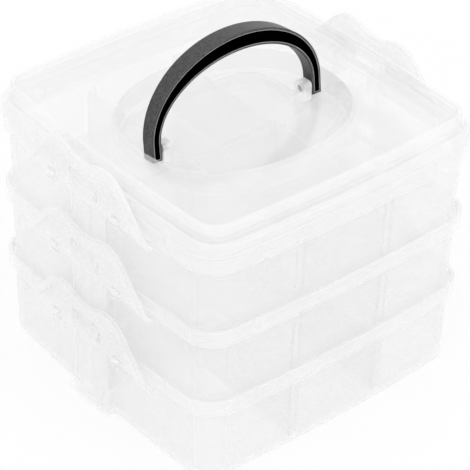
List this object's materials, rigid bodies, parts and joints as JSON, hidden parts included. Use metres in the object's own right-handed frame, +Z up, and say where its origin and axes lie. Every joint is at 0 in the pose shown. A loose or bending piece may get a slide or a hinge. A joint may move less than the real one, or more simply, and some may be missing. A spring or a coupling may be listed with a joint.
{
  "type": "tiered storage box with handle",
  "caption": "Translucent square craft organizer in stacked nesting tiers with divided compartments, side latches, a lid and a folding black carry handle.",
  "frame": {"origin": "centre of the base's flat underside", "axes": "+Z up; +X towards the right latch side, along the handle's span; +Y towards the back, the side that the handle's closed web faces"},
  "size_m": [0.166, 0.156, 0.1611],
  "materials": {
    "tray_plastic": "translucent frosted polypropylene, satin",
    "divider_plastic": "translucent frosted polypropylene, satin",
    "latch_plastic": "translucent polypropylene, satin",
    "lid_plastic": "translucent polypropylene, glossier than the trays",
    "handle_plastic": "black moulded plastic, satin gloss"
  },
  "bodies": {
    "bottom_tray": {"bottom_tray": "tray_plastic", "bottom_divider_front_left": "divider_plastic", "bottom_divider_front_right": "divider_plastic", "bottom_divider_back_left": "divider_plastic", "bottom_divider_back_right": "divider_plastic"},
    "bottom_latch_left": {"bottom_latch_left": "latch_plastic"},
    "bottom_latch_right": {"bottom_latch_right": "latch_plastic"},
    "middle_tray": {"middle_tray": "tray_plastic", "middle_divider_front_left": "divider_plastic", "middle_divider_front_right": "divider_plastic", "middle_divider_back_left": "divider_plastic", "middle_divider_back_right": "divider_plastic"},
    "middle_latch_left": {"middle_latch_left": "latch_plastic"},
    "middle_latch_right": {"middle_latch_right": "latch_plastic"},
    "top_tray": {"top_tray": "tray_plastic", "top_divider_front_left": "divider_plastic", "top_divider_front_right": "divider_plastic", "top_divider_back_left": "divider_plastic", "top_divider_back_right": "divider_plastic"},
    "top_latch_left": {"top_latch_left": "latch_plastic"},
    "top_latch_right": {"top_latch_right": "latch_plastic"},
    "lid": {"lid": "lid_plastic"},
    "carry_handle": {"carry_handle": "handle_plastic"}
  },
  "joints": [
    {"name": "middle_tray_lift", "type": "slide", "parent": "bottom_tray", "child": "middle_tray", "axis": [0, 0, 1], "range_m": [0, 0.03]},
    {"name": "top_tray_lift", "type": "slide", "parent": "middle_tray", "child": "top_tray", "axis": [0, 0, 1], "range_m": [0, 0.03]},
    {"name": "lid_lift", "type": "slide", "parent": "top_tray", "child": "lid", "axis": [0, 0, 1], "range_m": [0, 0.03]},
    {"name": "bottom_latch_left_swing", "type": "hinge", "parent": "bottom_tray", "child": "bottom_latch_left", "pos_m": [-0.0802, 0, 0.038], "axis": [0, -1, 0], "range_deg": [0, 120.5]},
    {"name": "bottom_latch_right_swing", "type": "hinge", "parent": "bottom_tray", "child": "bottom_latch_right", "pos_m": [0.0802, 0, 0.038], "axis": [0, 1, 0], "range_deg": [0, 120.5]},
    {"name": "middle_latch_left_swing", "type": "hinge", "parent": "middle_tray", "child": "middle_latch_left", "pos_m": [-0.0802, 0, 0.075], "axis": [0, -1, 0], "range_deg": [0, 120.5]},
    {"name": "middle_latch_right_swing", "type": "hinge", "parent": "middle_tray", "child": "middle_latch_right", "pos_m": [0.0802, 0, 0.075], "axis": [0, 1, 0], "range_deg": [0, 120.5]},
    {"name": "top_latch_left_swing", "type": "hinge", "parent": "top_tray", "child": "top_latch_left", "pos_m": [-0.0802, 0, 0.112], "axis": [0, -1, 0], "range_deg": [0, 120.5]},
    {"name": "top_latch_right_swing", "type": "hinge", "parent": "top_tray", "child": "top_latch_right", "pos_m": [0.0802, 0, 0.112], "axis": [0, 1, 0], "range_deg": [0, 120.5]},
    {"name": "handle_fold", "type": "hinge", "parent": "lid", "child": "carry_handle", "pos_m": [0, 0, 0.1203], "axis": [1, 0, 0], "range_deg": [-83.5, 96.5]}
  ],
  "couplings": [
    {"joint": "bottom_latch_left_swing", "follows": "middle_tray_lift", "rad_per_m": 69.813},
    {"joint": "bottom_latch_right_swing", "follows": "middle_tray_lift", "rad_per_m": 69.813},
    {"joint": "middle_latch_left_swing", "follows": "top_tray_lift", "rad_per_m": 69.813},
    {"joint": "middle_latch_right_swing", "follows": "top_tray_lift", "rad_per_m": 69.813},
    {"joint": "top_latch_left_swing", "follows": "lid_lift", "rad_per_m": 69.813},
    {"joint": "top_latch_right_swing", "follows": "lid_lift", "rad_per_m": 69.813}
  ]
}
